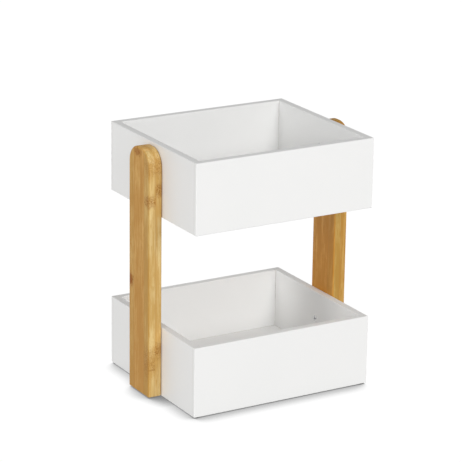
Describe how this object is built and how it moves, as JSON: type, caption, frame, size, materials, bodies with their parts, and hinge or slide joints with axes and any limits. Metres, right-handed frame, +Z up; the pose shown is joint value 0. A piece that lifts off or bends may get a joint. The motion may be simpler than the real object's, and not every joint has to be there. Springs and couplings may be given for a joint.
{
  "type": "desk organizer",
  "caption": "Two-tier desk organizer: shallow open rectangular trays one above the other, carried between flat round-topped bamboo uprights.",
  "frame": {"origin": "on the desk, under the middle of the organizer", "axes": "+X along the trays' long front, from the left upright to the right one, +Y to the back, +Z up"},
  "size_m": [0.236, 0.18, 0.266],
  "materials": {
    "white_lacquer": "satin white lacquer on MDF",
    "bamboo": "fine-sanded laminated bamboo, thin clear matt coat",
    "screw_steel": "bright zinc plated",
    "brad_steel": "plain drawn steel",
    "pad_foam": "matt closed-cell foam"
  },
  "bodies": {
    "root": {"lower_bottom_board": "white_lacquer", "lower_front_panel": "white_lacquer", "lower_back_panel": "white_lacquer", "lower_left_panel": "white_lacquer", "lower_right_panel": "white_lacquer", "lower_left_screw_low": "screw_steel", "lower_left_screw_high": "screw_steel", "lower_front_left_brads": "brad_steel", "lower_back_left_brads": "brad_steel", "lower_right_screw_low": "screw_steel", "lower_right_screw_high": "screw_steel", "lower_front_right_brads": "brad_steel", "lower_back_right_brads": "brad_steel", "upper_bottom_board": "white_lacquer", "upper_front_panel": "white_lacquer", "upper_back_panel": "white_lacquer", "upper_left_panel": "white_lacquer", "upper_right_panel": "white_lacquer", "upper_left_screw_low": "screw_steel", "upper_left_screw_high": "screw_steel", "upper_front_left_brads": "brad_steel", "upper_back_left_brads": "brad_steel", "upper_right_screw_low": "screw_steel", "upper_right_screw_high": "screw_steel", "upper_front_right_brads": "brad_steel", "upper_back_right_brads": "brad_steel", "left_upright": "bamboo", "front_left_pad": "pad_foam", "back_left_pad": "pad_foam", "right_upright": "bamboo", "front_right_pad": "pad_foam", "back_right_pad": "pad_foam"}
  },
  "joints": []
}
